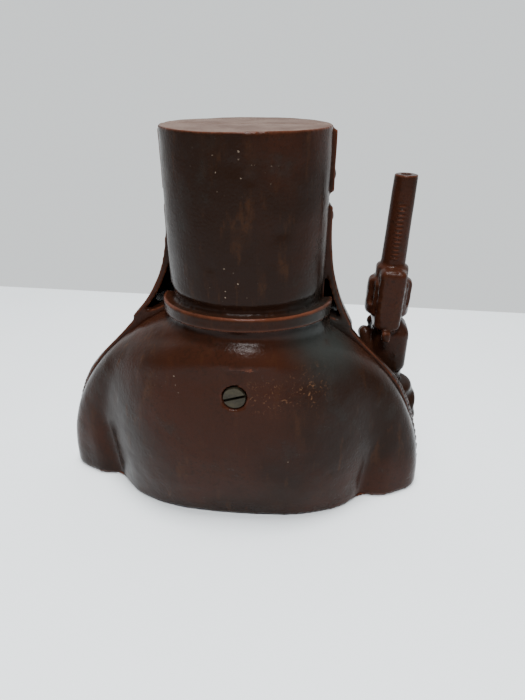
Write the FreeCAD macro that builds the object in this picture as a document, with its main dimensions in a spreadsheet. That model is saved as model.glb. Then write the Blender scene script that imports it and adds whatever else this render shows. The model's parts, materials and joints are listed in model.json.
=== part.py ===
"""Cast-iron bust money box with a pistol arm that works a tipping coin shelf.

The frame is Z up, in millimetres.  The figure faces -Y and stands on z = 0, and its right arm is at -X.
The two shells meet on the plane y = 0.  Pushing the pistol arm forward turns the arm shaft, whose
crank lifts a link rod.  The rod tips the coin shelf behind the eye slit, so that a coin drops
into the chest.  Arm crank and shelf crank are equal and parallel, so both turn by the same angle.
"""
import FreeCAD, Part
import Sketcher
import math
import os
from FreeCAD import Placement, Rotation, Vector

SIZES = [
    # overall casting
    ("overall_height", 165), ("body_half_width", 88), ("wall", 3.6),
    ("shoulder_top", 97), ("chest_half_width_rear", 66), ("chest_half_width_front", 60),
    ("rear_depth", 34.5), ("rear_bulge", 7), ("front_depth", 37), ("front_bulge", 4.2),
    ("arm_lobe_rear", 20), ("arm_lobe_front", 12), ("lobe_difference", 2.2), ("bust_top", 90),
    ("notch_x", 61), ("notch_depth", 2.5), ("notch_top", 38), ("shoulder_lip", 1.8), ("collar_lip", 5),
    # helmet and neck
    ("helmet_x", -4), ("helmet_radius", 33), ("helmet_bottom", 100.8), ("helmet_round", 4),
    ("neck_radius", 32), ("ring_radius", 34.3), ("ring_height", 97), ("ring_tube", 2.7), ("ring_tilt", 6),
    ("flare_top", 93), ("flare_top_radius", 34), ("flare_low", 80), ("flare_low_radius", 38.5),
    ("plate_proud", 1.8), ("brow_bottom", 140), ("slit_bottom", 134.5), ("slit_half_width", 24),
    ("guard_half_width", 50), ("guard_depth", 40.6), ("guard_side", 82.5), ("guard_front", 68), ("guard_thick", 3.2),
    ("bolt_radius", 2), ("bolt_proud", 1.2),
    # gun and hand
    ("gun_x", -67.2), ("gun_y", -21), ("gun_lean", 1.8), ("barrel_radius", 5.6), ("muzzle_radius", 4.95),
    ("muzzle_top", 144.2), ("bore_radius", 2), ("bore_depth", 8), ("ejector_radius", 2.2), ("ejector_top", 132),
    ("collar_radius", 7.4), ("collar_low", 96), ("collar_high", 105), ("collar_round", 2),
    ("drum_radius", 10.2), ("drum_low", 80.5), ("drum_high", 98.5), ("drum_round", 2.6), ("flute_radius", 2.4),
    ("strap_wide", 12), ("strap_low", 75), ("strap_high", 104.5), ("strap_proud", 1), ("strap_round", 3),
    ("trigger_ring", 4.6), ("trigger_wire", 1.4),
    ("hand_x", -70.5), ("palm_wide", 17), ("palm_deep", 19), ("palm_low", 50), ("palm_high", 76), ("palm_round", 5),
    ("finger_radius", 3.1), ("finger_pitch", 5.2), ("top_finger_z", 72), ("thumb_radius", 3.3),
    ("wrist_radius", 8), ("sleeve_x", -74.2), ("sleeve_low_radius", 12), ("sleeve_high_radius", 10.6),
    ("sleeve_top", 43.5), ("sleeve_round", 4),
    # arm, shaft and crank
    ("arm_axis_y", -23), ("arm_axis_z", 28), ("shaft_radius", 3), ("shaft_clearance", 0.08),
    ("shaft_outer_x", -80), ("shaft_inner_x", -31.5), ("arm_inner_x", -60.5), ("arm_outer_x", -87),
    ("boss_radius", 9), ("boss_outer_x", -59.8), ("boss_inner_x", -45),
    ("elbow_radius", 10), ("elbow_round", 4), ("hub_radius", 5.5),
    ("crank_length", 12), ("crank_thick", 3.5), ("crank_wide", 7), ("crank_x", -42.6),
    ("spring_arm", 7.4), ("spring_hole_radius", 0.9), ("shaft_washer_thick", 2.3),
    ("crank_washer_thick", 1), ("crank_washer_radius", 5), ("nut_radius", 5.8), ("nut_thick", 4),
    # coin shelf and link
    ("shelf_axis_y", 3), ("shelf_axis_z", 127.5), ("shelf_half_width", 17.5), ("shelf_thick", 1.8),
    ("shelf_top", 134), ("shelf_front", -20), ("shelf_rear", 8), ("shelf_corner_radius", 28),
    ("pivot_radius", 1.5), ("rod_radius", 1.25), ("link_pin_radius", 1.5), ("running_gap", 0.05),
    ("pin_head_radius", 2.6), ("pin_head_thick", 1), ("clip_thick", 0.8), ("eye_wall", 1.7), ("eye_thick", 2.5),
    ("eye_offset", 1.7), ("shelf_crank_x", -20.5), ("shelf_crank_wide", 5.2), ("shelf_eye_radius", 2.9),
    ("shelf_ear", 14), ("ear_radius", 3.6), ("shelf_hub_radius", 3), ("hub_half_length", 21.2),
    ("shelf_pin_length", 55), ("support_near", 21.5), ("support_long", 9), ("support_deep", 7.5), ("support_high", 10),
    # body screw
    ("screw_x", -2.9), ("screw_z", 67), ("screw_radius", 2.5), ("screw_head_radius", 4.5),
    ("screw_head_height", 3), ("screw_recess_radius", 5.2), ("screw_recess_y", 37.2),
    ("pillar_radius", 6), ("screw_end_y", -16), ("slot_width", 1.2), ("slot_depth", 1.3),
    # base plate and coin trap
    ("plate_bottom", 5.2), ("plate_thick", 2.8), ("plate_gap", 1.1), ("trap_x", 21), ("trap_hole_radius", 17),
    ("trap_length", 42), ("trap_width", 39), ("trap_thick", 1.6), ("trap_gap", 0.3), ("rail_height", 3.4),
    ("rail_wide", 3), ("rail_lip", 1.3), ("stop_gap", 0.5),
    ("end_stop_thick", 2), ("end_stop_wide", 16), ("trap_clearance", 0.25), ("lug_offset", 16), ("lug_thick", 2.5),
    ("lug_wide", 14), ("lug_high", 1.8), ("base_boss_radius", 4.2), ("base_boss_high", 12), ("base_web", 4),
    ("base_screw_radius", 1.9), ("base_screw_length", 9), ("base_head_radius", 3.6), ("base_head_thick", 2),
    ("base_slot", 0.9), ("spring_hook_z", 12.1), ("spring_coil_radius", 2.3), ("spring_wire", 0.4),
    ("spring_pitch", 1.35), ("spring_low_leg", 2.9), ("spring_high_leg", 4.6),
]

# x and y of the base plate's screws: two in the rear shell, then one in the front shell
BASE_SCREWS = [(-52, 10), (52, 10), (6, -29)]

doc = FreeCAD.newDocument("bust_money_box")


def make_sheet():
    """Writes every driving dimension to one spreadsheet, each cell with its alias."""
    sheet = doc.addObject("Spreadsheet::Sheet", "sizes")
    for row, (alias, value) in enumerate(SIZES, start=1):
        sheet.set(f"A{row}", alias)
        sheet.set(f"B{row}", str(value))
        sheet.setAlias(f"B{row}", alias)
    doc.recompute()
    return sheet


sheet = make_sheet()


def size(alias):
    """The value of one cell of the spreadsheet."""
    return float(sheet.get(alias))


# ---------------------------------------------------------------- small builders

def new_body(label):
    body = doc.addObject("PartDesign::Body", label)
    body.Label = label
    return body


def origin_plane(body, role):
    for feature in body.Origin.OriginFeatures:
        if feature.Role == role:
            return feature


def new_sketch(body, role, offset="0"):
    """An empty sketch on one of the body's origin planes, moved along its normal by an expression."""
    sketch = body.newObject("Sketcher::SketchObject", body.Label + "_sketch")
    sketch.AttachmentSupport = (origin_plane(body, role), [""])
    sketch.MapMode = "FlatFace"
    sketch.setExpression("AttachmentOffset.Base.z", offset)
    return sketch


def add_circle(sketch, radius, x="0", y="0"):
    """A circle whose radius and centre follow expressions on the spreadsheet."""
    index = sketch.addGeometry(Part.Circle(Vector(1, 1, 0), Vector(0, 0, 1), 1))
    row = sketch.addConstraint(Sketcher.Constraint("Radius", index, 1))
    sketch.setExpression(f"Constraints[{row}]", radius)
    place_point(sketch, index, 3, x, y)
    return index


def place_point(sketch, index, end, x, y):
    """Holds a point of the sketch at coordinates given by expressions."""
    if x == "0" and y == "0":
        sketch.addConstraint(Sketcher.Constraint("Coincident", index, end, -1, 1))
        return
    for kind, axis, value in (("DistanceX", -2, x), ("DistanceY", -1, y)):
        if value == "0":
            sketch.addConstraint(Sketcher.Constraint("PointOnObject", index, end, axis))
        else:
            row = sketch.addConstraint(Sketcher.Constraint(kind, -1, 1, index, end, 1))
            sketch.setExpression(f"Constraints[{row}]", value)


def add_polygon(sketch, corners):
    """A closed polygon whose corners are pairs of expressions."""
    count = len(corners)
    first = sketch.GeometryCount
    for number in range(count):
        here = Vector(math.cos(number * 6.28 / count), math.sin(number * 6.28 / count), 0)
        after = Vector(math.cos((number + 1) * 6.28 / count), math.sin((number + 1) * 6.28 / count), 0)
        sketch.addGeometry(Part.LineSegment(here, after))
    for number in range(count):
        following = first + (number + 1) % count
        sketch.addConstraint(Sketcher.Constraint("Coincident", first + number, 2, following, 1))
    for number, (x, y) in enumerate(corners):
        place_point(sketch, first + number, 1, x, y)


def add_rectangle(sketch, low_x, low_y, high_x, high_y):
    add_polygon(sketch, [(low_x, low_y), (high_x, low_y), (high_x, high_y), (low_x, high_y)])


def pad(body, sketch, length):
    feature = body.newObject("PartDesign::Pad", body.Label + "_pad")
    feature.Profile = sketch
    feature.setExpression("Length", length)
    sketch.Visibility = False
    return feature


def pocket(body, sketch, length=None, reverse=False):
    """Cuts a sketch out of the body, to a depth or right through both ways."""
    feature = body.newObject("PartDesign::Pocket", body.Label + "_pocket")
    feature.Profile = sketch
    if length is None:
        feature.Type = "ThroughAll"
        feature.Midplane = True
    else:
        feature.setExpression("Length", length)
    feature.Reversed = reverse
    return feature


def cylinder(radius, start, direction, length):
    return Part.makeCylinder(radius, length, start, direction)


def capsule(start, end, radius):
    """A finger-like solid with round ends, turned in one piece."""
    length = (end - start).Length
    low, high = Vector(0, 0, -radius), Vector(0, 0, length + radius)
    low_side, high_side = Vector(radius, 0, 0), Vector(radius, 0, length)
    bend = radius * math.sqrt(0.5)
    edges = [
        Part.Arc(low, Vector(bend, 0, -bend), low_side).toShape(),
        Part.LineSegment(low_side, high_side).toShape(),
        Part.Arc(high_side, Vector(bend, 0, length + bend), high).toShape(),
        Part.LineSegment(high, low).toShape(),
    ]
    shape = Part.Face(Part.Wire(edges)).revolve(Vector(), Vector(0, 0, 1), 360)
    shape.Placement = Placement(start, Rotation(Vector(0, 0, 1), end - start))
    return shape


def rounded_block(centre, spans, radius):
    low = centre - spans * 0.5
    block = Part.makeBox(spans.x, spans.y, spans.z, low)
    return block.makeFillet(radius, block.Edges)


def add_shape(label, shape):
    """A sub-part whose surface no sketch feature makes, read from the sheet by the code above it."""
    feature = doc.addObject("Part::Feature", label)
    feature.Label = label
    feature.Shape = shape
    feature.Placement = Placement()
    return feature


# ---------------------------------------------------------------- the bust's outline

def oval(share, power=2.5):
    """Height of a squarish oval of unit size at a share of its half width."""
    return max(0.0, 1 - abs(share) ** power) ** (1 / power)


def smooth_step(value, low, high):
    share = min(1.0, max(0.0, (value - low) / (high - low)))
    return share * share * (3 - 2 * share)


def half_width(z, front):
    """Half width of the shoulders at a height: the front shell stands a lip's width outside the rear one."""
    rear = size("body_half_width") * (1 - (max(z, 0) / size("shoulder_top")) ** 2.2) ** 0.625
    lip = size("shoulder_lip") * smooth_step(z, 25, 60) + size("collar_lip") * smooth_step(z, 70, 86)
    return rear + (lip if front else 0)


def chest_width(z, front):
    widest = size("chest_half_width_front" if front else "chest_half_width_rear")
    return widest * (1 - (max(z, 0) / size("shoulder_top")) ** 4) ** 0.6


def chest_depth(z, front):
    """Depth of the chest or back at a height: it swells to the middle and draws in at the neck."""
    middle = 50
    name = "front" if front else "rear"
    start, bulge = size(name + "_depth"), size(name + "_bulge")
    share = (middle - z) / (middle if z < middle else size("bust_top") - middle)
    return start + bulge * (1 - share * share)


def lobe_depth(x, z, front):
    """Depth of the upper arm beside the chest: the raised arm's side is the deeper one behind."""
    rise = max(z, 0) / size("bust_top")
    if front:
        return size("arm_lobe_front") + 20 * rise ** 5
    uneven = size("lobe_difference") * (1 if x < 0 else -1)
    return size("arm_lobe_rear") + uneven * (1 - rise) + 12 * rise ** 3


def depth_at(x, level, wide, front):
    """Depth of the bust's surface: arm lobes, the chest swelling between them, and their creases."""
    chest = chest_width(level, front)
    swell = max(0.0, 1 - min(1.0, abs(x) / chest) ** (6 if front else 4)) ** 1.6
    lobe = lobe_depth(x, level, front)
    depth = oval(x / wide) * (lobe + (chest_depth(level, front) - lobe) * swell)
    fade = max(0.0, 1 - max(level, 0) / size("notch_top"))
    crease = size("notch_depth") * fade * math.exp(-((abs(x) - size("notch_x")) / 5) ** 2)
    return depth - (0 if front else crease)


def section(z, front, inset=0.0):
    """The bust's outline at a height, as a closed wire on one side of the plane y = 0.

    An inset outline is taken a little higher, so that the sloping shoulders keep their thickness.
    """
    level = z + 0.9 * inset
    outer = half_width(level, front)
    side = -1 if front else 1
    points = []
    for step in range(-13, 14):
        share = math.sin(math.radians(step * 90 / 13))
        depth = depth_at(outer * share, level, outer, front) * (1 - inset / chest_depth(level, front))
        points.append(Vector((outer - inset) * share, side * depth, z))
    curve = Part.BSplineCurve()
    curve.interpolate(points)
    skirt = Vector(0, -side * 2, 0) if inset else Vector()
    corners = [points[-1], points[-1] + skirt, points[0] + skirt, points[0]]
    edges = [curve.toShape()]
    for here, after in zip(corners, corners[1:]):
        if (after - here).Length > 1e-6:
            edges.append(Part.LineSegment(here, after).toShape())
    return Part.Wire(edges)


def bust_solid(front, inset=0.0):
    """The bust's outer form or, with an inset, the hollow inside it."""
    levels = [0, 8, 16, 24, 32, 40, 48, 56, 63, 69, 75, 80, 85, size("bust_top")]
    if inset:
        levels = [-1, 7, 15, 23, 31, 39, 47, 54, 60, 66, 71, 76, 81, size("bust_top") - 1.5 * inset]
    return Part.makeLoft([section(z, front, inset) for z in levels], True, False)


def guard_section(z, inset):
    """Half outline of the neck guard: round under the eye slit, wide and squarer on the shoulders."""
    top, bottom = size("slit_bottom"), size("guard_side")
    start = size("helmet_radius") + size("plate_proud")
    spread = min(1.0, max(0.0, (top - z) / (top - bottom))) ** 2.6
    wide = start + (size("guard_half_width") - start) * spread - inset
    deep = start + (size("guard_depth") - start) * spread - inset
    middle = size("helmet_x") * (1 - spread)
    power = 2 / (2 + 0.9 * spread)
    points = []
    for step in range(13):
        angle = math.radians(15 * step)
        across = math.copysign(abs(math.cos(angle)) ** power, math.cos(angle))
        points.append(Vector(middle + wide * across, -deep * abs(math.sin(angle)) ** power, z))
    curve = Part.BSplineCurve()
    curve.interpolate(points)
    return Part.Wire([curve.toShape(), Part.LineSegment(points[-1], points[0]).toShape()])


def guard_form(inset):
    """The flared guard's outside, or with an inset its hollow, straight below the shoulders' level."""
    top, side = size("slit_bottom"), size("guard_side")
    levels = [top - (top - side) * step / 7 for step in range(8)]
    levels.append(size("guard_front") - (1 if inset else 0))
    return Part.makeLoft([guard_section(z, inset) for z in levels], True, False)


def neck_guard():
    """The neck guard's wall from the eye slit down, its lower edge dropping from the sides to the front."""
    side, front, reach = size("guard_side"), size("guard_front"), 2 * size("guard_depth")
    drop = (side - front) / size("guard_depth")
    corners = [Vector(-150, 1, side + drop), Vector(-150, -reach, side - drop * reach), Vector(-150, -reach, 0),
               Vector(-150, 1, 0), Vector(-150, 1, side + drop)]
    below = Part.Face(Part.makePolygon(corners)).extrude(Vector(300, 0, 0))
    return guard_form(0.0).cut(guard_form(size("guard_thick"))).cut(below)


def base_boss(x, y, front):
    """A screw boss for the base plate with a web to the wall beside it, and the hole in it."""
    low = size("plate_bottom") + size("plate_thick") + 0.05
    up, high, web_wide, reach = Vector(0, 0, 1), size("base_boss_high"), size("base_web"), 40
    boss = cylinder(size("base_boss_radius"), Vector(x, y, low), up, high)
    web = Part.makeBox(web_wide, reach, high, Vector(x - web_wide / 2, y - reach if front else y, low))
    hole = cylinder(size("base_screw_radius") - 0.1, Vector(x, y, low - 1), up, size("base_screw_length"))
    return boss.fuse(web).common(bust_solid(front)), hole


def neck_bore():
    return size("neck_radius") - size("wall")


def half_space(front):
    """Everything on one side of the joint between the shells."""
    return Part.makeBox(300, 150, 300, Vector(-150, -150 if front else 0, -50))


def rear_shell():
    """Back half: plain back, half of the helmet, neck ring, screw pillar and shelf supports."""
    axis = Vector(size("helmet_x"), 0, 0)
    radius, top, bottom = size("helmet_radius"), size("overall_height"), size("helmet_bottom")
    up, back = Vector(0, 0, 1), Vector(0, 1, 0)
    helmet = cylinder(radius, axis + up * bottom, up, top - bottom)
    lower_rim = [edge for edge in helmet.Edges if abs(edge.CenterOfMass.z - bottom) < 0.1 and edge.Closed]
    helmet = helmet.makeFillet(size("helmet_round"), lower_rim)
    neck = cylinder(size("neck_radius"), axis + up * 80, up, bottom - 70)
    ring_centre = axis + up * size("ring_height")
    ring = Part.makeTorus(size("ring_radius"), size("ring_tube"), ring_centre, up)
    ring.rotate(ring_centre + back * size("ring_radius"), Vector(1, 0, 0), size("ring_tilt"))
    low = size("flare_low")
    flare = Part.makeCone(size("flare_low_radius"), size("flare_top_radius"), size("flare_top") - low,
                          axis + up * low, up)
    form = helmet.fuse([neck, ring, flare]).common(half_space(False)).fuse(bust_solid(False))
    bore = cylinder(neck_bore(), axis + up * 70, up, top - size("wall") - 70)
    shell = form.cut(bust_solid(False, size("wall")).fuse(bore))

    pillar_start = Vector(size("screw_x"), 0.1, size("screw_z"))
    pillar = cylinder(size("pillar_radius"), pillar_start, back, size("screw_recess_y") + 1)
    recess = Vector(size("screw_x"), size("screw_recess_y"), size("screw_z"))
    lobes = [pillar.common(bust_solid(False))]
    holes = [cylinder(size("screw_radius") + 0.25, pillar_start - back, back, 60),
             cylinder(size("screw_recess_radius"), recess, back, 20)]
    for x, y in BASE_SCREWS[:2]:
        boss, hole = base_boss(x, y, False)
        lobes.append(boss)
        holes.append(hole)
    inside = cylinder(radius - 1, axis + up * 100, up, 60)
    for side in (-1, 1):
        near = axis.x + side * size("support_near")
        corner = Vector(min(near, near + side * size("support_long")), 0.1,
                        size("shelf_axis_z") - size("support_high") / 2)
        support = Part.makeBox(size("support_long"), size("support_deep"), size("support_high"), corner)
        lobes.append(support.common(inside))
    pin_line = Vector(axis.x - 40, size("shelf_axis_y"), size("shelf_axis_z"))
    holes.append(cylinder(size("pivot_radius"), pin_line, Vector(1, 0, 0), 80).common(
        cylinder(neck_bore() - 0.2, axis + up * 100, up, 60)))
    return shell.fuse(lobes).cut(holes[0].fuse(holes[1:]))


def front_bolts():
    """Round bolt heads above and below the eye slit."""
    heads = []
    for angle in (-168, -138, -108, -72, -42, -12):
        direction = Vector(math.cos(math.radians(angle)), math.sin(math.radians(angle)), 0)
        for z in (size("slit_bottom") - 5, size("brow_bottom") + 6):
            start = Vector(size("helmet_x"), 0, z) + direction * (size("helmet_radius") - 1)
            heads.append(cylinder(size("bolt_radius"), start, direction,
                                  1 + size("plate_proud") + size("bolt_proud")))
    return heads


def front_shell():
    """Front half: chest, helmet front with its plates and eye slit, arm boss and screw pillar."""
    axis = Vector(size("helmet_x"), 0, 0)
    radius, top = size("helmet_radius"), size("overall_height")
    up, back, right = Vector(0, 0, 1), Vector(0, 1, 0), Vector(1, 0, 0)
    proud = radius + size("plate_proud")
    helmet = cylinder(radius, axis + up * 80, up, top - 80)
    brow = cylinder(proud, axis + up * size("brow_bottom"), up, top - 2 - size("brow_bottom"))
    form = helmet.fuse([brow] + front_bolts()).common(half_space(True)).fuse([neck_guard(), bust_solid(True)])
    bore = cylinder(radius - size("wall"), axis + up * 70, up, top - size("wall") - 70)
    shell = form.cut(bust_solid(True, size("wall")).fuse(bore))

    axis_point = Vector(0, size("arm_axis_y"), size("arm_axis_z"))
    boss = Part.makeCone(size("boss_radius"), size("boss_radius") + 3, size("boss_inner_x") - size("boss_outer_x"),
                         axis_point + right * size("boss_outer_x"), right)
    shaft_hole = cylinder(size("shaft_radius") + size("shaft_clearance"), axis_point - right * 70, right, 50)
    pillar_start = Vector(size("screw_x"), -0.1, size("screw_z"))
    pillar = cylinder(size("pillar_radius"), pillar_start, -back, 60).common(bust_solid(True))
    screw_hole = cylinder(size("screw_radius"), pillar_start + back, -back, 19)
    slit = Part.makeBox(2 * size("slit_half_width"), 60, size("brow_bottom") - size("slit_bottom"),
                        Vector(axis.x - size("slit_half_width"), -70, size("slit_bottom")))
    x, y = BASE_SCREWS[2]
    base, base_hole = base_boss(x, y, True)
    crank_room = cylinder(size("hub_radius") + 1, axis_point + right * size("boss_inner_x"), right, 14)
    return shell.fuse([boss, pillar, base]).cut(shaft_hole.fuse([crank_room, screw_hole, slit, base_hole]))


# ---------------------------------------------------------------- the pistol arm

def flutes():
    """Cutters for the six flutes of the revolver's drum."""
    reach = size("drum_radius") + 1
    cutters = []
    for number in range(6):
        angle = math.radians(30 + 60 * number)
        start = Vector(reach * math.cos(angle), reach * math.sin(angle), size("drum_low") + 6)
        cutters.append(cylinder(size("flute_radius"), start, Vector(0, 0, 1), 20))
    return cutters[0].fuse(cutters[1:])


def revolver():
    """A plain single-action revolver, muzzle up and leaning outward, with its grip inside the fist."""
    up = Vector(0, 0, 1)
    low, high, radius = size("drum_low"), size("drum_high"), size("drum_radius")
    collar_low, collar_high, top = size("collar_low"), size("collar_high"), size("muzzle_top")
    barrel_low = collar_high - 2
    barrel = Part.makeCone(size("barrel_radius"), size("muzzle_radius"), top - barrel_low, up * barrel_low, up)
    bore = cylinder(size("bore_radius"), up * (top - size("bore_depth")), up, 20)
    ejector = cylinder(size("ejector_radius"), Vector(0, -size("barrel_radius"), barrel_low), up,
                       size("ejector_top") - barrel_low)
    drum = cylinder(radius, up * low, up, high - low)
    drum = drum.makeFillet(size("drum_round"), [edge for edge in drum.Edges if edge.Closed]).cut(flutes())
    collar = cylinder(size("collar_radius"), up * collar_low, up, collar_high - collar_low)
    collar = collar.makeFillet(size("collar_round"), [edge for edge in collar.Edges if edge.Closed])
    strap_low, strap_high, rear = size("strap_low"), size("strap_high"), radius + size("strap_proud")
    strap = rounded_block(Vector(0, rear / 2, (strap_low + strap_high) / 2),
                          Vector(size("strap_wide"), rear, strap_high - strap_low), size("strap_round"))
    frame = rounded_block(Vector(0, -1, low - 2), Vector(size("strap_wide"), 2 * radius, 10), size("strap_round"))
    hammer = rounded_block(Vector(0, rear, strap_low - 1.5), Vector(4, 5, 5), 1.2)
    trigger = Part.makeTorus(size("trigger_ring"), size("trigger_wire"), Vector(0, -radius, low - 5), Vector(1, 0, 0))
    gun = barrel.fuse([ejector, drum, collar, strap, frame, hammer, trigger]).cut(bore)
    gun.rotate(up * low, Vector(0, 1, 0), -size("gun_lean"))
    gun.translate(Vector(size("gun_x"), size("gun_y"), 0))
    return gun


def fist():
    """A closed right hand round the grip: palm, four curled fingers, the thumb and the wrist."""
    x, y, top = size("hand_x"), size("arm_axis_y"), size("palm_high")
    low, deep = size("palm_low"), size("palm_deep")
    palm = rounded_block(Vector(x, y, (low + top) / 2), Vector(size("palm_wide"), deep, top - low), size("palm_round"))
    parts = [palm]
    for number in range(4):
        z = size("top_finger_z") - size("finger_pitch") * number
        knuckle, tip = Vector(x - 4.5, y - deep / 2 + 1.2, z), Vector(x + 7.5, y - deep / 2 + 0.4, z - 0.7)
        parts.append(capsule(knuckle, tip, size("finger_radius")))
    root, tip = Vector(x + 5, y + 5.3, 59), Vector(x + 12, y - 1, 68.5)
    parts.append(capsule(root, tip, size("thumb_radius")))
    wrist = size("wrist_radius")
    parts.append(Part.makeCone(wrist + 0.2, wrist - 0.2, low + 6 - 40, Vector(x, y, 40), Vector(0, 0, 1)))
    return parts


def gun_arm():
    """One casting: sleeve turning on the arm shaft, cuff, fist and revolver."""
    y, z = size("arm_axis_y"), size("arm_axis_z")
    inner, outer, radius = size("arm_inner_x"), size("arm_outer_x"), size("elbow_radius")
    elbow = cylinder(radius, Vector(inner, y, z), Vector(-1, 0, 0), inner - outer)
    outer_rim = [edge for edge in elbow.Edges if edge.Closed and edge.CenterOfMass.x < inner - 1]
    elbow = elbow.makeFillet(size("elbow_round"), outer_rim)
    top = size("sleeve_top")
    sleeve = Part.makeCone(size("sleeve_low_radius"), size("sleeve_high_radius"), top - z,
                           Vector(size("sleeve_x"), y, z), Vector(0, 0, 1))
    upper_rim = [edge for edge in sleeve.Edges if edge.CenterOfMass.z > top - 1]
    sleeve = sleeve.makeFillet(size("sleeve_round"), upper_rim)
    form = elbow
    for piece in [sleeve] + fist() + [revolver()]:
        form = form.fuse(piece)
    hole = cylinder(size("shaft_radius"), Vector(inner + 1, y, z), Vector(-1, 0, 0), inner + 1 - size("shaft_outer_x"))
    return form.cut(hole)


# ---------------------------------------------------------------- shaft, crank and link

def along_x(body, x, y="0", z="0"):
    """Lays a body made along its own Z so that it runs along +X from a point given by expressions."""
    body.Placement = Placement(Vector(), Rotation(Vector(0, 1, 0), 90))
    body.setExpression("Placement.Base.x", x)
    body.setExpression("Placement.Base.y", y)
    body.setExpression("Placement.Base.z", z)


def round_piece(label, radius, length, hole=None):
    """A pin, or with a hole a washer or collar, made along its own Z."""
    body = new_body(label)
    sketch = new_sketch(body, "XY_Plane")
    add_circle(sketch, radius)
    if hole:
        add_circle(sketch, hole)
    pad(body, sketch, length)
    return body


def arm_shaft():
    body = round_piece("arm_shaft", "sizes.shaft_radius", "sizes.shaft_inner_x - sizes.shaft_outer_x")
    along_x(body, "sizes.shaft_outer_x", "sizes.arm_axis_y", "sizes.arm_axis_z")
    return body


def arm_crank():
    """Flat steel crank on the shaft's inner end: it points to the rear, with a hole for the spring."""
    body = new_body("arm_crank")
    sketch = new_sketch(body, "XY_Plane")
    add_circle(sketch, "sizes.hub_radius")
    pad(body, sketch, "sizes.crank_thick")
    web = new_sketch(body, "XY_Plane")
    add_rectangle(web, "-sizes.crank_wide / 2", "0", "sizes.crank_wide / 2", "sizes.crank_length")
    pad(body, web, "sizes.crank_thick")
    tip = new_sketch(body, "XY_Plane")
    add_circle(tip, "sizes.crank_wide / 2", "0", "sizes.crank_length")
    pad(body, tip, "sizes.crank_thick")
    holes = new_sketch(body, "XY_Plane")
    add_circle(holes, "sizes.shaft_radius")
    add_circle(holes, "sizes.link_pin_radius", "0", "sizes.crank_length")
    add_circle(holes, "sizes.spring_hole_radius", "0", "sizes.spring_arm")
    pocket(body, holes)
    along_x(body, "sizes.crank_x", "sizes.arm_axis_y", "sizes.arm_axis_z")
    return body


def shaft_ring(label, start, thick, radius):
    """A washer or a collar on the arm shaft."""
    body = round_piece(label, radius, thick, "sizes.shaft_radius + 0.02")
    along_x(body, start, "sizes.arm_axis_y", "sizes.arm_axis_z")
    return body


def hex_nut():
    """Nut that clamps the crank on the end of the arm shaft."""
    body = new_body("crank_nut")
    sketch = new_sketch(body, "XY_Plane")
    corners = []
    for number in range(6):
        angle = math.radians(60 * number)
        corners.append((f"sizes.nut_radius * {math.cos(angle):.5f}", f"sizes.nut_radius * {math.sin(angle):.5f}"))
    add_polygon(sketch, corners)
    add_circle(sketch, "sizes.shaft_radius + 0.01")
    pad(body, sketch, "sizes.nut_thick")
    start = "sizes.crank_x + sizes.crank_thick + sizes.crank_washer_thick + 0.05"
    along_x(body, start, "sizes.arm_axis_y", "sizes.arm_axis_z")
    return body


def link_pin(label, x, y, z, length):
    """A headed pin through a crank and the eye of the link rod."""
    body = new_body(label)
    head = new_sketch(body, "XY_Plane")
    add_circle(head, "sizes.pin_head_radius")
    pad(body, head, "sizes.pin_head_thick")
    shank = new_sketch(body, "XY_Plane")
    add_circle(shank, "sizes.link_pin_radius")
    pad(body, shank, length)
    along_x(body, x, y, z)
    return body


def link_points():
    """Eye centres of the link rod: on the arm crank's pin and on the shelf crank's pin."""
    offset, reach = size("eye_offset"), size("crank_length")
    low = Vector(size("crank_x") + size("crank_thick") + offset, size("arm_axis_y") + reach, size("arm_axis_z"))
    high = Vector(size("shelf_crank_x") - offset, size("shelf_axis_y") + reach, size("shelf_axis_z"))
    return low, high


def link_rod():
    """Round steel rod with a flattened eye at each end."""
    low, high = link_points()
    inner = size("link_pin_radius") + size("running_gap")
    rod = cylinder(size("rod_radius"), low, high - low, (high - low).Length)
    eyes, holes = [], []
    for point in (low, high):
        start = point - Vector(size("eye_thick") / 2, 0, 0)
        eyes.append(cylinder(inner + size("eye_wall"), start, Vector(1, 0, 0), size("eye_thick")))
        holes.append(cylinder(inner, start - Vector(4, 0, 0), Vector(1, 0, 0), 10))
    return rod.fuse(eyes).cut(holes[0].fuse(holes[1]))


def link_clip(label, x, y, z):
    """A small retaining ring on the end of a link pin."""
    body = round_piece(label, "sizes.pin_head_radius", "sizes.clip_thick", "sizes.link_pin_radius")
    along_x(body, x, y, z)
    return body


# ---------------------------------------------------------------- coin shelf

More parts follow.
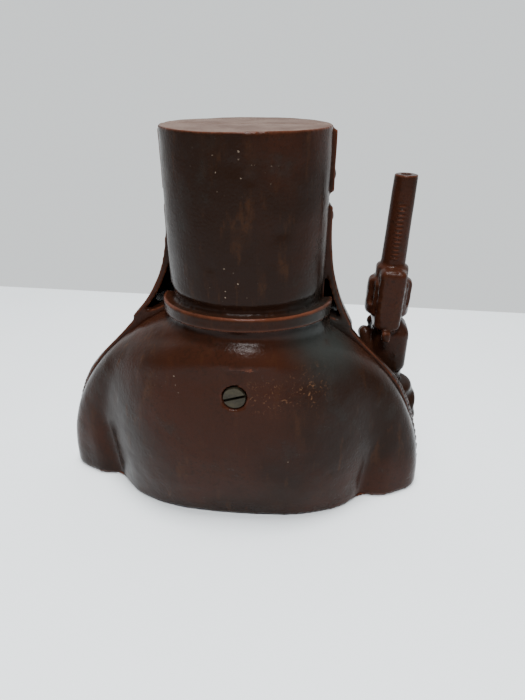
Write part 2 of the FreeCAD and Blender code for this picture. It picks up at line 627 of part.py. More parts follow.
def coin_shelf():
    """Tipping plate behind the eye slit, rounded to fit the helmet, with ears, a hub and a rear crank."""
    axis_x, pivot = size("helmet_x"), Vector(0, size("shelf_axis_y"), size("shelf_axis_z"))
    half, thick, top = size("shelf_half_width"), size("shelf_thick"), size("shelf_top")
    front, rear, right = size("shelf_front"), size("shelf_rear"), Vector(1, 0, 0)
    plate = Part.makeBox(2 * half, rear - front, thick, Vector(axis_x - half, front, top - thick))
    shape = plate.common(cylinder(size("shelf_corner_radius"), Vector(axis_x, 0, top - 20), Vector(0, 0, 1), 40))
    ear_radius = size("ear_radius")
    for side in (-1, 1):
        start = Vector(axis_x + side * size("shelf_ear") - thick / 2, pivot.y, pivot.z)
        ear = cylinder(ear_radius, start, right, thick)
        web = Part.makeBox(thick, 2 * ear_radius, top - pivot.z - thick / 2, start - Vector(0, ear_radius, 0))
        shape = shape.fuse([ear, web])
    half_length = size("hub_half_length")
    hub = cylinder(size("shelf_hub_radius"), pivot + right * (axis_x - half_length), right, 2 * half_length)
    crank_start = pivot + right * size("shelf_crank_x")
    reach, wide = Vector(0, size("crank_length"), 0), size("shelf_crank_wide")
    arm = Part.makeBox(thick, size("crank_length"), wide, crank_start - Vector(0, 0, wide / 2))
    eye = cylinder(size("shelf_eye_radius"), crank_start + reach, right, thick)
    pin_hole = cylinder(size("link_pin_radius"), crank_start + reach - right, right, thick + 3.2)
    pivot_hole = cylinder(size("pivot_radius") + size("running_gap"), pivot - right * 40, right, 80)
    return shape.fuse([hub, arm, eye]).cut(pivot_hole.fuse(pin_hole))


def shelf_pin():
    """Plain pin through both supports and the shelf's hub."""
    body = round_piece("shelf_pin", "sizes.pivot_radius", "sizes.shelf_pin_length")
    along_x(body, "sizes.helmet_x - sizes.shelf_pin_length / 2", "sizes.shelf_axis_y", "sizes.shelf_axis_z")
    return body


def spring_line():
    """Centre of the spring, below the crank's spring hole, and the heights of its two hooks."""
    x = size("crank_x") + size("crank_thick") / 2
    y = size("arm_axis_y") + size("spring_arm")
    return x, y, size("spring_hook_z"), size("arm_axis_z")


def return_spring():
    """Extension spring from the post on the base plate up to the crank's spring hole."""
    x, y, low, high = spring_line()
    wire, coil = size("spring_wire"), size("spring_coil_radius")
    first, last = low + size("spring_low_leg"), high - size("spring_high_leg")
    helix = Part.makeHelix(size("spring_pitch"), last - first, coil)
    profile = Part.Wire(Part.makeCircle(wire, Vector(coil, 0, 0), Vector(0, 1, 0)))
    turns = Part.Wire(helix.Edges).makePipeShell([profile], True, True)
    turns.translate(Vector(x, y, first))
    up, right = Vector(0, 0, 1), Vector(1, 0, 0)
    low_hook, high_hook, overlap = 2.0, 2.6, 0.1
    straights = [
        cylinder(wire, Vector(x + coil, y, low - wire), up, first - low + wire + overlap),
        cylinder(wire, Vector(x - low_hook, y, low), right, coil + low_hook + overlap),
        cylinder(wire, Vector(x + coil, y, last - 2 * overlap), up, high - last + wire + 2 * overlap),
        cylinder(wire, Vector(x - high_hook, y, high), right, coil + high_hook + overlap),
    ]
    return turns.fuse(straights)


# ---------------------------------------------------------------- screws, base plate and trap

def body_screw():
    """Long slotted screw that holds the two shells together."""
    body = new_body("body_screw")
    head = new_sketch(body, "XY_Plane")
    add_circle(head, "sizes.screw_head_radius")
    pad(body, head, "sizes.screw_head_height")
    shank = new_sketch(body, "XY_Plane")
    add_circle(shank, "sizes.screw_radius")
    pad(body, shank, "sizes.screw_recess_y - sizes.screw_end_y").Reversed = True
    slot = new_sketch(body, "XY_Plane", "sizes.screw_head_height")
    add_rectangle(slot, "-6", "-sizes.slot_width / 2", "6", "sizes.slot_width / 2")
    pocket(body, slot, "sizes.slot_depth")
    turn = Rotation(Vector(0, 1, 0), 17)
    body.Placement = Placement(Vector(), turn.multiply(Rotation(Vector(1, 0, 0), -90)))
    body.setExpression("Placement.Base.x", "sizes.screw_x")
    body.setExpression("Placement.Base.y", "sizes.screw_recess_y")
    body.setExpression("Placement.Base.z", "sizes.screw_z")
    return body


def plate_outline():
    """Outline of the plate that fits inside both shells at the foot."""
    inset = size("wall") + size("plate_gap")
    rear = section(0, False, inset).Edges[0]
    front = section(0, True, inset).Edges[0]
    return Part.Wire(Part.__sortEdges__([rear, front]))


def trap_rails():
    """Two undercut rails and two end stops that carry the sliding coin trap."""
    high, travel, gap = size("rail_height"), size("trap_length"), size("stop_gap")
    low = size("plate_bottom") - high
    start = size("trap_x") - 1.5 * travel - gap
    length = 2 * travel + 2 * gap
    lip_wide, stop, stop_wide = size("rail_lip") + size("trap_gap"), size("end_stop_thick"), size("end_stop_wide")
    rails = []
    for side in (-1, 1):
        inner = side * (size("trap_width") / 2 + size("trap_gap"))
        outer = inner + side * size("rail_wide")
        lip = inner - side * lip_wide
        rails.append(Part.makeBox(length, abs(outer - inner), high, Vector(start, min(inner, outer), low)))
        rails.append(Part.makeBox(length, abs(outer - lip), size("rail_lip"), Vector(start, min(lip, outer), low)))
        stop_x = start - stop if side < 0 else start + length
        rails.append(Part.makeBox(stop, stop_wide, high, Vector(stop_x, -stop_wide / 2, low)))
    return rails


def base_plate():
    """Iron plate inside the foot, with the coin hole, the trap's rails and the spring post."""
    low, thick = size("plate_bottom"), size("plate_thick")
    up = Vector(0, 0, 1)
    outline = plate_outline()
    outline.translate(up * low)
    plate = Part.Face(outline).extrude(up * thick)
    x, y, hook, _ = spring_line()
    post_thick, post_wide, post_high = 2, 5, 6.5
    post = Part.makeBox(post_thick, post_wide, post_high,
                        Vector(x - post_thick / 2, y - post_wide / 2, low + thick - 0.5))
    eye = cylinder(size("spring_wire") + 0.3, Vector(x - 3, y, hook), Vector(1, 0, 0), 6)
    hole = cylinder(size("trap_hole_radius"), Vector(size("trap_x"), 0, low - 1), up, thick + 2)
    screws = [cylinder(size("base_screw_radius") + 0.2, Vector(sx, sy, low - 1), up, thick + 2)
              for sx, sy in BASE_SCREWS]
    return plate.fuse(trap_rails() + [post]).cut(hole.fuse(screws + [eye]))


def coin_trap():
    """Sliding door under the coin hole, with a thumb lug."""
    body = new_body("coin_trap")
    underside = "sizes.plate_bottom - sizes.trap_clearance - sizes.trap_thick"
    sketch = new_sketch(body, "XY_Plane", underside)
    add_rectangle(sketch, "sizes.trap_x - sizes.trap_length / 2", "-sizes.trap_width / 2",
                  "sizes.trap_x + sizes.trap_length / 2", "sizes.trap_width / 2")
    pad(body, sketch, "sizes.trap_thick")
    lug = new_sketch(body, "XY_Plane", underside)
    add_rectangle(lug, "sizes.trap_x - sizes.lug_offset", "-sizes.lug_wide / 2",
                  "sizes.trap_x - sizes.lug_offset + sizes.lug_thick", "sizes.lug_wide / 2")
    pad(body, lug, "sizes.lug_high").Reversed = True
    return body


def base_screws():
    """Three slotted screws, one node, that hold the base plate to the shells' bosses."""
    low, thick, slot_wide = size("plate_bottom"), size("base_head_thick"), size("base_slot")
    radius = size("base_head_radius")
    up = Vector(0, 0, 1)
    solids = []
    for number, (x, y) in enumerate(BASE_SCREWS):
        foot = Vector(x, y, low)
        head = cylinder(radius, foot - up * thick, up, thick - 0.02)
        head = head.makeFillet(0.6, [edge for edge in head.Edges if edge.Closed and edge.CenterOfMass.z < low - 1])
        shank = cylinder(size("base_screw_radius") - 0.1, foot - up * 0.1, up, size("base_screw_length"))
        slot = Part.makeBox(3 * radius, slot_wide, slot_wide,
                            Vector(x - 1.5 * radius, y - slot_wide / 2, low - thick - 0.1))
        slot.rotate(foot, up, 35 + 50 * number)
        solids.append(head.fuse(shank).cut(slot))
    return Part.makeCompound(solids)


# ---------------------------------------------------------------- build, check and write

def build_all():
    add_shape("rear_shell", rear_shell())
    add_shape("front_shell", front_shell())
    add_shape("gun_arm", gun_arm())
    arm_shaft()
    arm_crank()
    crank_face = "sizes.crank_x + sizes.crank_thick"
    shaft_ring("shaft_washer", "sizes.boss_inner_x + 0.05", "sizes.shaft_washer_thick", "sizes.hub_radius")
    shaft_ring("crank_washer", crank_face + " + 0.02", "sizes.crank_washer_thick", "sizes.crank_washer_radius")
    hex_nut()
    crank_y = "sizes.arm_axis_y + sizes.crank_length"
    link_pin("crank_pin", "sizes.crank_x - sizes.pin_head_thick - 0.02", crank_y, "sizes.arm_axis_z", "9.2")
    link_clip("crank_pin_clip", crank_face + " + 3.8", crank_y, "sizes.arm_axis_z")
    add_shape("link_rod", link_rod())
    shelf_y = "sizes.shelf_axis_y + sizes.crank_length"
    link_pin("shelf_link_pin", "sizes.shelf_crank_x - 4.8", shelf_y, "sizes.shelf_axis_z", "7.8")
    link_clip("shelf_pin_clip", "sizes.shelf_crank_x + sizes.shelf_thick + 0.1", shelf_y, "sizes.shelf_axis_z")
    add_shape("coin_shelf", coin_shelf())
    shelf_pin()
    add_shape("return_spring", return_spring())
    body_screw()
    add_shape("base_plate", base_plate())
    coin_trap()
    add_shape("base_screws", base_screws())


def sub_parts():
    """The document objects that are sub-parts: every body and every plain shape."""
    kinds = ("PartDesign::Body", "Part::Feature")
    return [item for item in doc.Objects if item.TypeId in kinds]


def check():
    doc.recompute()
    for item in doc.Objects:
        if "Invalid" in item.State or "Error" in item.State:
            raise RuntimeError(f"{item.Label} failed: {item.State}")
    for part in sub_parts():
        if part.Shape.isNull() or not part.Shape.isValid() or not part.Shape.Solids:
            raise RuntimeError(f"{part.Label} has no valid solid")


def write():
    os.makedirs("parts", exist_ok=True)
    for part in sub_parts():
        part.Shape.exportStep(os.path.join("parts", part.Label + ".step"))
        box = part.Shape.BoundBox
        print(f"{part.Label}: {len(part.Shape.Solids)} solids, {part.Shape.Volume:.0f} mm3, "
              f"x {box.XMin:.1f} {box.XMax:.1f} y {box.YMin:.1f} {box.YMax:.1f} z {box.ZMin:.1f} {box.ZMax:.1f}")


build_all()
check()
write()
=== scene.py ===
"""Looks of the cast-iron bust money box: sculpted castings, lacquer, light and the camera."""
import json
import math

import bmesh
import bpy
import numpy as np
from mathutils import Matrix, Vector, noise


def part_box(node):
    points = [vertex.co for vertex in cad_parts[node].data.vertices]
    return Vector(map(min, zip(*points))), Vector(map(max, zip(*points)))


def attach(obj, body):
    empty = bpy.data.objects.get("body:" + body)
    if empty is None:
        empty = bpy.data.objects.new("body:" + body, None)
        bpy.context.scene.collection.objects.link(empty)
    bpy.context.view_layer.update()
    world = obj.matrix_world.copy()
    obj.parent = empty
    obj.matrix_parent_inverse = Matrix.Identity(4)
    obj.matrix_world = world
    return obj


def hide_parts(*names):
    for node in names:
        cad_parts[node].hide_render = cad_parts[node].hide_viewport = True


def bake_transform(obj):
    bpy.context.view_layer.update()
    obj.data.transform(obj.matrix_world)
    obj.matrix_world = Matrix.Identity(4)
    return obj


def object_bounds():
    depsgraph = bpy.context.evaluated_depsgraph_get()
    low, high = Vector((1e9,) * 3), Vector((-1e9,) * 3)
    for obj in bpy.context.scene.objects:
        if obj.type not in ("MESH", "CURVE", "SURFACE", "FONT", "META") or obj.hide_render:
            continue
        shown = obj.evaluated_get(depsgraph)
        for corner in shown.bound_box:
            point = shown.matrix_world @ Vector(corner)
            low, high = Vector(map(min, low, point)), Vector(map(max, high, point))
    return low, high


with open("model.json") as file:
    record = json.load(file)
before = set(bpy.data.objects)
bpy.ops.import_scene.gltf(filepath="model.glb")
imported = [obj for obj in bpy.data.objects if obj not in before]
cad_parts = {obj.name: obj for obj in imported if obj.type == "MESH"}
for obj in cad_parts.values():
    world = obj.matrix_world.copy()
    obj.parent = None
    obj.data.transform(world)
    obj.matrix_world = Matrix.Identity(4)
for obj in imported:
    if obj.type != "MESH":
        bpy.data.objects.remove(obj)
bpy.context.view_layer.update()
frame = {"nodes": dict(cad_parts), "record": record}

MM = 0.001
NODES = frame["nodes"]

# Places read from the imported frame, in metres.
BACK_LOW, BACK_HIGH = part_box("rear_shell")
ARM_LOW, ARM_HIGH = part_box("gun_arm")
SCREW_LOW, SCREW_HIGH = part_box("body_screw")
SHELF_PIN_LOW, SHELF_PIN_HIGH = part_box("shelf_pin")
HELMET_X = (SHELF_PIN_LOW.x + SHELF_PIN_HIGH.x) / 2
TOP = BACK_HIGH.z
SCREW = (SCREW_LOW + SCREW_HIGH) / 2

# The revolver leans out slightly about the foot of its drum.
GUN_X = -67.2 * MM
GUN_Y = -21 * MM
GUN_LEAN = math.radians(1.8)
DRUM_LOW = 80.5 * MM

# The rounded ring under the helmet, tilted down toward the front.
RING_HEIGHT = 97 * MM
RING_RADIUS = 34.3 * MM
RING_TILT = math.radians(6)

# Where the sheet under the figure ends, seen from behind: the left and the right end of its far edge.
FLOOR_FAR_LEFT = Vector((0.269, -0.2376))
FLOOR_FAR_RIGHT = Vector((-0.215, -0.2206))
FLOOR_REACH = 3

CAMERA_LENS = 27.05
CAMERA_PITCH = math.radians(27.8)
CAMERA_YAW = math.radians(5.7)


# ---------------------------------------------------------------- mesh helpers

def add_object(name, mesh):
    piece = bpy.data.objects.new(name, mesh)
    bpy.context.scene.collection.objects.link(piece)
    return piece


def node_copy(name, node):
    """A separate object with its own copy of a CAD node's mesh."""
    piece = add_object(name, NODES[node].data.copy())
    piece.data.materials.clear()
    return piece


def bake_modifiers(piece):
    """Turns a piece's modifiers into its mesh."""
    graph = bpy.context.evaluated_depsgraph_get()
    mesh = bpy.data.meshes.new_from_object(piece.evaluated_get(graph))
    piece.modifiers.clear()
    piece.data = mesh


def remesh(piece, voxel, smoothing=4, factor=0.5):
    """Gives a casting one even skin, with its edges slightly softened."""
    weld = piece.modifiers.new("weld", "WELD")
    weld.merge_threshold = 0.01 * MM
    skin = piece.modifiers.new("skin", "REMESH")
    skin.mode = "VOXEL"
    skin.voxel_size = voxel
    soften = piece.modifiers.new("soften", "SMOOTH")
    soften.factor = factor
    soften.iterations = smoothing
    bake_modifiers(piece)


def shade_smooth(piece):
    piece.data.polygons.foreach_set("use_smooth", [True] * len(piece.data.polygons))


def beads(mesh, points, radii, flatten=(1, 1, 1)):
    """Adds a row of overlapping balls along a path; the remesh makes them one limb."""
    for (start, r0), (end, r1) in zip(zip(points, radii), zip(points[1:], radii[1:])):
        start, end = Vector(start), Vector(end)
        steps = max(2, int((end - start).length / (0.3 * min(r0, r1))))
        for step in range(steps + 1):
            share = step / steps
            radius = r0 + (r1 - r0) * share
            place = Matrix.Translation(start.lerp(end, share)) @ Matrix.Diagonal((*flatten, 1))
            bmesh.ops.create_icosphere(mesh, subdivisions=2, radius=radius, matrix=place)


def add_to(piece, build):
    """Adds to a piece's mesh whatever a function builds in a bmesh."""
    mesh = bmesh.new()
    mesh.from_mesh(piece.data)
    build(mesh)
    mesh.to_mesh(piece.data)
    mesh.free()


def points_and_normals(piece):
    mesh = piece.data
    points = np.empty(len(mesh.vertices) * 3, np.float32)
    normals = np.empty(len(mesh.vertices) * 3, np.float32)
    mesh.vertices.foreach_get("co", points)
    mesh.vertex_normals.foreach_get("vector", normals)
    return points.reshape(-1, 3), normals.reshape(-1, 3)


def push(piece, amount):
    """Moves each vertex along its normal by an amount that depends on where it is."""
    points, normals = points_and_normals(piece)
    points = points + normals * amount(points, normals)[:, None]
    piece.data.vertices.foreach_set("co", points.astype(np.float32).ravel())
    piece.data.update()


def ramp(values, low, high):
    """Smooth step from 0 at low to 1 at high."""
    share = np.clip((values - low) / (high - low), 0, 1)
    return share * share * (3 - 2 * share)


def lumps(points, scale, seed):
    """Smooth noise between -1 and 1, with features of the given size."""
    shift = Vector((seed * 3.1, seed * 1.7, seed * 2.3))
    return np.array([noise.noise(Vector(p) / scale + shift) for p in points.tolist()])


def casting_wave(points):
    """The slight unevenness of a sand casting."""
    return 0.28 * MM * lumps(points, 22 * MM, 1) + 0.10 * MM * lumps(points, 6 * MM, 2)


# ---------------------------------------------------------------- castings

def back_relief(points, normals):
    """Creases from the foot's notches, the roll and groove at the neck, the ring's edges, helmet dents."""
    x, y, z = points.T
    outside = ramp(normals[:, 1], 0.1, 0.5)
    relief = casting_wave(points)
    for side, foot_x, lean, height in ((1, 61, 5, 44), (-1, -60, -3, 36)):
        line = (foot_x + lean * (z / (height * MM)) ** 1.5) * MM
        fade = 1 - ramp(z, 0.3 * height * MM, height * MM)
        relief -= outside * fade * 1.3 * MM * np.exp(-((x - line) / (3.2 * MM)) ** 2)
        beside = line + side * 8 * MM
        relief += outside * fade * 0.7 * MM * np.exp(-((x - beside) / (5 * MM)) ** 2)
    across = (x - HELMET_X) / (46 * MM)
    by_neck = outside * np.exp(-across ** 4)
    shoulder_line = z + 9 * MM * across ** 2
    relief += by_neck * 1.3 * MM * np.exp(-((shoulder_line - 81 * MM) / (5 * MM)) ** 2)
    relief -= by_neck * 1.3 * MM * np.exp(-((shoulder_line - 90 * MM) / (2.6 * MM)) ** 2)
    from_axis = np.hypot(x - HELMET_X, y)
    on_ring = z - RING_HEIGHT + (RING_RADIUS - y) * math.tan(RING_TILT)
    ring = ramp(from_axis, 34.6 * MM, 35.6 * MM) * (1 - ramp(from_axis, 38.5 * MM, 39.5 * MM))
    upper_edge = np.exp(-((on_ring - 2.1 * MM) / (0.8 * MM)) ** 2)
    lower_edge = np.exp(-((on_ring + 2.2 * MM) / (0.8 * MM)) ** 2)
    hollow = np.exp(-(on_ring / (1.3 * MM)) ** 2)
    relief += ring * (0.75 * MM * (upper_edge + lower_edge) - 0.25 * MM * hollow)
    for dent_x, dent_z, width in ((-4, 154, 3.0), (-9, 150, 2.0), (6, 118, 2.2), (-20, 131, 2.6)):
        distance = (x - dent_x * MM) ** 2 + (z - dent_z * MM) ** 2
        relief -= outside * 0.35 * MM * np.exp(-distance / (width * MM) ** 2)
    return relief


def make_back():
    piece = node_copy("back_casting", "rear_shell")
    remesh(piece, 0.8 * MM, 3)
    push(piece, back_relief)
    shade_smooth(piece)
    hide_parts("rear_shell")
    return piece


def front_relief(points, normals):
    """Plain coat folds on the chest and sleeves and a centre ridge down the neck guard."""
    x, y, z = points.T
    outside = ramp(-normals[:, 1], 0.05, 0.4)
    below_guard = 1 - ramp(z, 66 * MM, 74 * MM)
    relief = casting_wave(points)
    folds = np.sin((np.abs(x) * 0.9 + 0.25 * z) / (6.2 * MM)) * ramp(np.abs(x), 30 * MM, 52 * MM)
    relief += outside * below_guard * 0.8 * MM * folds
    lapel = np.abs(x - HELMET_X) - (0.55 * z - 4 * MM)
    relief += outside * below_guard * 0.9 * MM * ramp(lapel, -1.5 * MM, 1.5 * MM)
    ridge = np.exp(-((x - HELMET_X) / (2.2 * MM)) ** 2) * ramp(z, 74 * MM, 80 * MM)
    relief += outside * ridge * (1 - ramp(z, 126 * MM, 131 * MM)) * 0.9 * MM
    return relief


def make_front():
    piece = node_copy("front_casting", "front_shell")
    remesh(piece, 0.9 * MM, 4)
    push(piece, front_relief)
    shade_smooth(piece)
    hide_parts("front_shell")
    return piece


def arm_forms(mesh):
    """Back of the hand, its wrist and the thumb, which the remesh joins to the casting."""
    y = GUN_Y
    hand = -72.6 * MM
    beads(mesh, [(hand, y - 1 * MM, 46 * MM), (hand - 0.4 * MM, y, 62 * MM), (hand + 0.3 * MM, y, 74 * MM)],
          [5.6 * MM, 6.4 * MM, 4.8 * MM], (0.95, 1.25, 1))
    beads(mesh, [(hand + 9 * MM, y + 3 * MM, 58 * MM), (hand + 12.5 * MM, y + 1 * MM, 65 * MM),
                 (hand + 14 * MM, y - 1 * MM, 69.5 * MM)], [4 * MM, 3.6 * MM, 3.2 * MM])


def arm_relief(points, normals):
    """Sleeve folds at the elbow and the row of small notches up the barrel's rear."""
    x, y, z = points.T
    sleeve = ramp(z, 18 * MM, 24 * MM) * (1 - ramp(z, 38 * MM, 43 * MM))
    folds = np.sin((z + 0.35 * y + 0.2 * x) / (1.5 * MM))
    centre = GUN_X - math.tan(GUN_LEAN) * (z - DRUM_LOW)
    strip = np.exp(-((x - centre - 0.4 * MM) / (1.5 * MM)) ** 4) * ramp(normals[:, 1], 0.3, 0.7)
    strip *= ramp(z, 107 * MM, 109 * MM) * (1 - ramp(z, 131 * MM, 134 * MM))
    notches = 0.5 + np.sin(2 * math.pi * z / (1.9 * MM))
    rough = 0.22 * MM * lumps(points, 3 * MM, 5)
    rough = rough * ramp(z, 66 * MM, 72 * MM) * (1 - ramp(z, 104 * MM, 108 * MM))
    return 0.45 * MM * folds * sleeve + 0.3 * MM * notches * strip + 0.4 * casting_wave(points) + rough


def make_arm():
    piece = node_copy("pistol_arm_casting", "gun_arm")
    add_to(piece, arm_forms)
    remesh(piece, 0.5 * MM, 9)
    push(piece, arm_relief)
    shade_smooth(piece)
    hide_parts("gun_arm")
    return piece


def make_spring():
    """The return spring stretches between the base plate's post and the arm crank."""
    piece = node_copy("return_spring_coil", "return_spring")
    shade_smooth(piece)
    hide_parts("return_spring")
    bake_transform(piece)
    return piece


# ---------------------------------------------------------------- materials

class Nodes:
    """Short names for building a node material."""

    def __init__(self, name):
        self.material = bpy.data.materials.new(name)
        self.material.use_nodes = True
        self.tree = self.material.node_tree
        self.shader = self.tree.nodes["Principled BSDF"]
        self.place = self.add("ShaderNodeTexCoord").outputs["Object"]

    def add(self, kind, **inputs):
        node = self.tree.nodes.new(kind)
        for name, value in inputs.items():
            self.feed(node.inputs[name.replace("_", " ")], value)
        return node

    def feed(self, socket, value):
        if isinstance(value, bpy.types.NodeSocket):
            self.tree.links.new(value, socket)
        else:
            socket.default_value = value

    def noise(self, size, detail=3.0, roughness=0.55, distortion=0.0):
        """Noise whose features are about the given size in metres."""
        return self.add("ShaderNodeTexNoise", Vector=self.place, Scale=0.5 / size, Detail=detail,
                        Roughness=roughness, Distortion=distortion).outputs["Fac"]

    def streaks(self, size, stretch=4.0):
        """Noise drawn out along Z, like runs down a wall."""
        drawn = self.add("ShaderNodeVectorMath")
        drawn.operation = "MULTIPLY"
        self.feed(drawn.inputs[0], self.place)
        drawn.inputs[1].default_value = (1, 1, 1 / stretch)
        node = self.add("ShaderNodeTexNoise", Vector=drawn.outputs["Vector"], Scale=0.5 / size, Detail=5.0,
                        Roughness=0.6)
        return node.outputs["Fac"]

    def spots(self, size):
        cells = self.add("ShaderNodeTexVoronoi", Vector=self.place, Scale=1 / size)
        return cells.outputs["Distance"]

    def cover(self, base, tone, *shares):
        """Lays a tone over a colour by the product of several shares."""
        share = shares[0]
        for other in shares[1:]:
            share = self.math("MULTIPLY", share, other)
        return self.mix(share, base, tone)

    def curve(self, value, low, high, out_low=0.0, out_high=1.0):
        node = self.add("ShaderNodeMapRange", Value=value)
        node.interpolation_type = "SMOOTHSTEP"
        limits = (("From Min", low), ("From Max", high), ("To Min", out_low), ("To Max", out_high))
        for name, number in limits:
            node.inputs[name].default_value = number
        return node.outputs["Result"]

    def math(self, operation, first, second=0.0):
        node = self.add("ShaderNodeMath")
        node.operation = operation
        self.feed(node.inputs[0], first)
        self.feed(node.inputs[1], second)
        return node.outputs["Value"]

    def mix(self, share, first, second):
        node = self.add("ShaderNodeMix")
        node.data_type = "RGBA"
        self.feed(node.inputs["Factor"], share)
        self.feed(node.inputs[6], first)
        self.feed(node.inputs[7], second)
        return node.outputs[2]

    def near(self, centre, radius):
        """1 at a place in the object's own frame, falling to 0 at a radius from it."""
        offset = self.add("ShaderNodeVectorMath")
        offset.operation = "DISTANCE"
        self.feed(offset.inputs[0], self.place)
        offset.inputs[1].default_value = centre
        return self.curve(offset.outputs["Value"], 0.3 * radius, radius, 1, 0)

    def bump(self, *layers):
        """Chains bump layers, each a height, a distance in metres and a strength."""
        normal = None
        for height, distance, strength in layers:
            node = self.add("ShaderNodeBump", Height=height, Distance=distance, Strength=strength)
            if normal:
                self.feed(node.inputs["Normal"], normal)
            normal = node.outputs["Normal"]
        self.feed(self.shader.inputs["Normal"], normal)


def colour(red, green, blue):
    return (red, green, blue, 1.0)


def lacquered_iron():
    """Old brown lacquer on cast iron: rust-red on worn edges, greenish bloom, tan scratches, painted shade
    darkening the hollows, and paler upward faces at the top that are partly dust and partly painted light.
    """
    m = Nodes("lacquered_iron")
    broad = m.noise(38 * MM, 3)
    blotch = m.noise(9 * MM, 5, 0.6)
    grain = m.noise(0.8 * MM, 4, 0.65)
    pebble = m.noise(0.55 * MM, 2, 0.5)
    streak = m.streaks(2.2 * MM)
    chocolate = colour(0.0125, 0.0058, 0.0036)
    red_brown = colour(0.0280, 0.0092, 0.0050)
    umber = colour(0.038, 0.0150, 0.0060)
    bloom = colour(0.0150, 0.0125, 0.0105)
    rust = colour(0.085, 0.0260, 0.0130)
    base = m.mix(m.curve(broad, 0.40, 0.62), chocolate, red_brown)
    base = m.cover(base, bloom, m.curve(blotch, 0.54, 0.72, 0, 0.55))
    base = m.cover(base, umber, m.curve(streak, 0.52, 0.68, 0, 0.55), m.curve(blotch, 0.40, 0.56, 1, 0.2))
    base = m.cover(base, chocolate, m.curve(grain, 0.50, 0.68, 0, 0.6))
    around_screw = m.near((SCREW.x + 2 * MM, SCREW_HIGH.y, SCREW.z + 2 * MM), 44 * MM)
    base = m.cover(base, red_brown, around_screw, m.curve(grain, 0.35, 0.55, 0.2, 0.75))
    green_place = (SCREW.x - 33 * MM, 14 * MM, 85 * MM)
    base = m.cover(base, colour(0.0180, 0.0215, 0.0200), m.near(green_place, 28 * MM),
                   m.curve(blotch, 0.3, 0.55, 0.2, 0.8))
    geometry = m.add("ShaderNodeNewGeometry")
    edge = m.curve(geometry.outputs["Pointiness"], 0.515, 0.575)
    base = m.cover(base, rust, edge, m.curve(blotch, 0.30, 0.52, 0.25, 1.0))
    # Painted shade: the concave hollows and creases are darkened toward near-black where the pointiness is
    # low.
    hollow = m.curve(geometry.outputs["Pointiness"], 0.43, 0.485, 0.75, 0)
    base = m.cover(base, colour(0.007, 0.005, 0.004), hollow)
    normal = m.add("ShaderNodeSeparateXYZ", Vector=geometry.outputs["Normal"])
    high = m.add("ShaderNodeSeparateXYZ", Vector=m.place)
    on_top = m.math("MULTIPLY", m.curve(normal.outputs["Z"], 0.8, 0.98),
                    m.curve(high.outputs["Z"], TOP - 8 * MM, TOP - 2 * MM))
    # The upward faces at the top turn pale pinkish-grey: partly dust, partly painted light from the lamps
    # above.
    dust_and_painted_top_light = m.mix(m.curve(blotch, 0.35, 0.65), colour(0.124, 0.086, 0.070), colour(0.082, 0.052, 0.041))
    base = m.cover(base, dust_and_painted_top_light, on_top, m.curve(grain, 0.45, 0.75, 0.95, 0.6))
    specks = m.curve(m.noise(1.1 * MM, 6, 0.7, 1.5), 0.585, 0.65)
    for offset, rise, radius in ((-13, 0, 12), (-31, 3, 14)):
        area = m.near((SCREW.x + offset * MM, SCREW_HIGH.y - 4 * MM, SCREW.z + rise * MM), radius * MM)
        base = m.cover(base, colour(0.120, 0.058, 0.028), area, specks)
    tiny = m.curve(m.spots(2.6 * MM), 0.10, 0.17, 1, 0)
    for place, radius in (((HELMET_X, 33 * MM, 158 * MM), 20), ((SCREW.x - 22 * MM, 36 * MM, 36 * MM), 9),
                          ((SCREW.x + 30 * MM, 36 * MM, 72 * MM), 12), ((HELMET_X, 33 * MM, 108 * MM), 16)):
        base = m.cover(base, colour(0.20, 0.155, 0.115), m.near(place, radius * MM), tiny,
                       m.curve(grain, 0.54, 0.60))
    m.feed(m.shader.inputs["Base Color"], base)
    rough = m.curve(blotch, 0.3, 0.7, 0.17, 0.28)
    m.feed(m.shader.inputs["Roughness"], m.math("MAXIMUM", rough, m.math("MULTIPLY", on_top, 0.6)))
    m.shader.inputs["Specular IOR Level"].default_value = 0.065
    m.bump((blotch, 0.35 * MM, 0.35), (grain, 0.14 * MM, 0.6), (pebble, 0.14 * MM, 0.7))
    return m.material


def steel(name, tone, rough, rust_share):
    """Plain steel with a drawn grain, finger-dulled patches and a little rust."""
    m = Nodes(name)
    patch = m.noise(6 * MM, 4)
    fine = m.noise(0.4 * MM, 2)
    bright = colour(tone, tone * 0.98, tone * 0.95)
    dull = colour(tone * 0.6, tone * 0.58, tone * 0.55)
    base = m.mix(m.curve(patch, 0.35, 0.65), dull, bright)
    rusty = m.curve(m.noise(2.5 * MM, 6, 0.65), 0.62 - rust_share, 0.72)
    base = m.mix(rusty, base, colour(0.16, 0.06, 0.025))
    m.feed(m.shader.inputs["Base Color"], base)
    m.feed(m.shader.inputs["Metallic"], m.math("SUBTRACT", 1.0, rusty))
    m.feed(m.shader.inputs["Roughness"], m.curve(fine, 0.3, 0.7, rough, rough + 0.15))
    m.bump((fine, 0.05 * MM, 0.4), (rusty, 0.08 * MM, 0.5))
    return m.material


def aged_brass():
    """Tarnished screw brass: dull olive with bright rubs."""
    m = Nodes("aged_brass")
    patch = m.noise(3 * MM, 5, 0.6)
    fine = m.noise(0.5 * MM, 3)
    base = m.mix(m.curve(patch, 0.35, 0.65), colour(0.016, 0.013, 0.008), colour(0.046, 0.038, 0.023))
    base = m.mix(m.curve(fine, 0.5, 0.75, 0, 0.7), base, colour(0.03, 0.024, 0.018))
    m.feed(m.shader.inputs["Base Color"], base)
    m.shader.inputs["Metallic"].default_value = 0.75
    m.feed(m.shader.inputs["Roughness"], m.curve(patch, 0.3, 0.7, 0.42, 0.6))
    m.bump((fine, 0.12 * MM, 0.6), (patch, 0.2 * MM, 0.3))
    return m.material


def dress(piece, material):
    piece.data.materials.clear()
    piece.data.materials.append(material)


def dress_nodes(by_slot):
    """Gives every CAD node the finish of its slot in the record."""
    for part in frame["record"]["subparts"]:
        node = NODES[part["node"]]
        for slot in node.material_slots:
            slot.material = by_slot[part["material_slot"]]


# ---------------------------------------------------------------- floor, light and camera

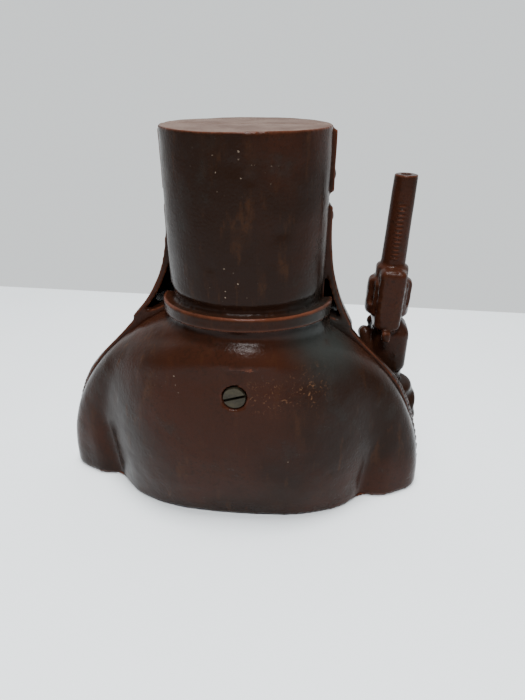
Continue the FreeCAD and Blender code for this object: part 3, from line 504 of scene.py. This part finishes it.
def paper(name, tone):
    """Plain pale paper with a faint fibre."""
    m = Nodes(name)
    fibre = m.noise(30 * MM, 4)
    fine = m.noise(0.8 * MM, 3)
    base = m.mix(m.curve(fibre, 0.2, 0.8, 0, 0.06), tone, colour(0.6, 0.62, 0.64))
    m.feed(m.shader.inputs["Base Color"], base)
    m.shader.inputs["Roughness"].default_value = 0.85
    m.shader.inputs["Specular IOR Level"].default_value = 0.2
    m.bump((fine, 0.02 * MM, 0.3))
    return m.material


def make_floor():
    """A pale sheet whose far edge lies across the view a little in front of the figure."""
    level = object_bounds()[0].z - 0.05 * MM
    along = (FLOOR_FAR_RIGHT - FLOOR_FAR_LEFT).normalized()
    corners = [FLOOR_FAR_LEFT - along * FLOOR_REACH, FLOOR_FAR_RIGHT + along * FLOOR_REACH]
    data = bpy.data.meshes.new("paper_floor")
    near = [Vector((corners[1].x, FLOOR_REACH)), Vector((corners[0].x, FLOOR_REACH))]
    data.from_pydata([(point.x, point.y, level) for point in corners + near], [], [(0, 3, 2, 1)])
    floor = add_object("paper_floor", data)
    dress(floor, paper("pale_paper", colour(0.84, 0.885, 0.91)))


def area_light(name, place, target, width, height, power):
    data = bpy.data.lights.new(name, "AREA")
    data.shape = "RECTANGLE"
    data.size = width
    data.size_y = height
    data.energy = power
    lamp = bpy.data.objects.new(name, data)
    lamp.location = place
    lamp.rotation_euler = (Vector(target) - Vector(place)).to_track_quat("-Z", "Y").to_euler()
    bpy.context.scene.collection.objects.link(lamp)


def make_light():
    """A pale wall beyond the figure and at the horizon, a dim room elsewhere, and two lamps above."""
    world = bpy.data.worlds.new("soft_room")
    world.use_nodes = True
    tree = world.node_tree
    background = tree.nodes["Background"]
    direction = tree.nodes.new("ShaderNodeSeparateXYZ")
    tree.links.new(tree.nodes.new("ShaderNodeTexCoord").outputs["Generated"], direction.inputs["Vector"])
    shares = []
    for axis, dim, pale in (("Y", 0.1, -0.45), ("Z", 0.10, 0.02)):
        step = tree.nodes.new("ShaderNodeMapRange")
        step.interpolation_type = "SMOOTHSTEP"
        step.inputs["From Min"].default_value = dim
        step.inputs["From Max"].default_value = pale
        tree.links.new(direction.outputs[axis], step.inputs["Value"])
        shares.append(step.outputs["Result"])
    either = tree.nodes.new("ShaderNodeMath")
    either.operation = "MAXIMUM"
    tree.links.new(shares[0], either.inputs[0])
    tree.links.new(shares[1], either.inputs[1])
    tone = tree.nodes.new("ShaderNodeMix")
    tone.data_type = "RGBA"
    tree.links.new(either.outputs["Value"], tone.inputs["Factor"])
    tone.inputs[6].default_value = colour(0.060, 0.062, 0.064)
    tone.inputs[7].default_value = colour(0.99, 1.03, 1.04)
    tree.links.new(tone.outputs[2], background.inputs["Color"])
    background.inputs["Strength"].default_value = 1.0
    bpy.context.scene.world = world
    area_light("ceiling", (0.0, 0.05, 1.05), (0, 0, 0.05), 0.30, 0.30, 15.0)
    area_light("window", (-0.06, 0.52, 0.80), (0, 0, 0.08), 0.34, 0.12, 9.5)


def make_camera():
    """The photograph's place: behind the figure, a little to its right and above it."""
    data = bpy.data.cameras.new("camera")
    data.lens = CAMERA_LENS
    data.sensor_width = 36
    data.clip_start = 0.01
    camera = bpy.data.objects.new("camera", data)
    level = math.cos(CAMERA_PITCH)
    look = Vector((math.sin(CAMERA_YAW) * level, -math.cos(CAMERA_YAW) * level, -math.sin(CAMERA_PITCH)))
    camera.location = (HELMET_X - 27.7 * MM, 214.6 * MM, TOP + 16.9 * MM)
    camera.rotation_euler = look.to_track_quat("-Z", "Y").to_euler()
    bpy.context.scene.collection.objects.link(camera)
    bpy.context.scene.camera = camera


# ---------------------------------------------------------------- assembly

def main():
    iron = lacquered_iron()
    by_slot = {
        "lacquered_iron": iron,
        "machined_steel": steel("machined_steel", 0.50, 0.28, 0.02),
        "sheet_steel": steel("sheet_steel", 0.38, 0.38, 0.06),
        "spring_steel": steel("spring_steel", 0.32, 0.30, 0.04),
        "aged_brass": aged_brass(),
    }
    dress_nodes(by_slot)
    for piece, body in ((make_back(), "bank_body"), (make_front(), "bank_body"), (make_arm(), "pistol_arm")):
        dress(piece, iron)
        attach(piece, body)
    spring = make_spring()
    dress(spring, by_slot["spring_steel"])
    make_floor()
    make_light()
    make_camera()


main()
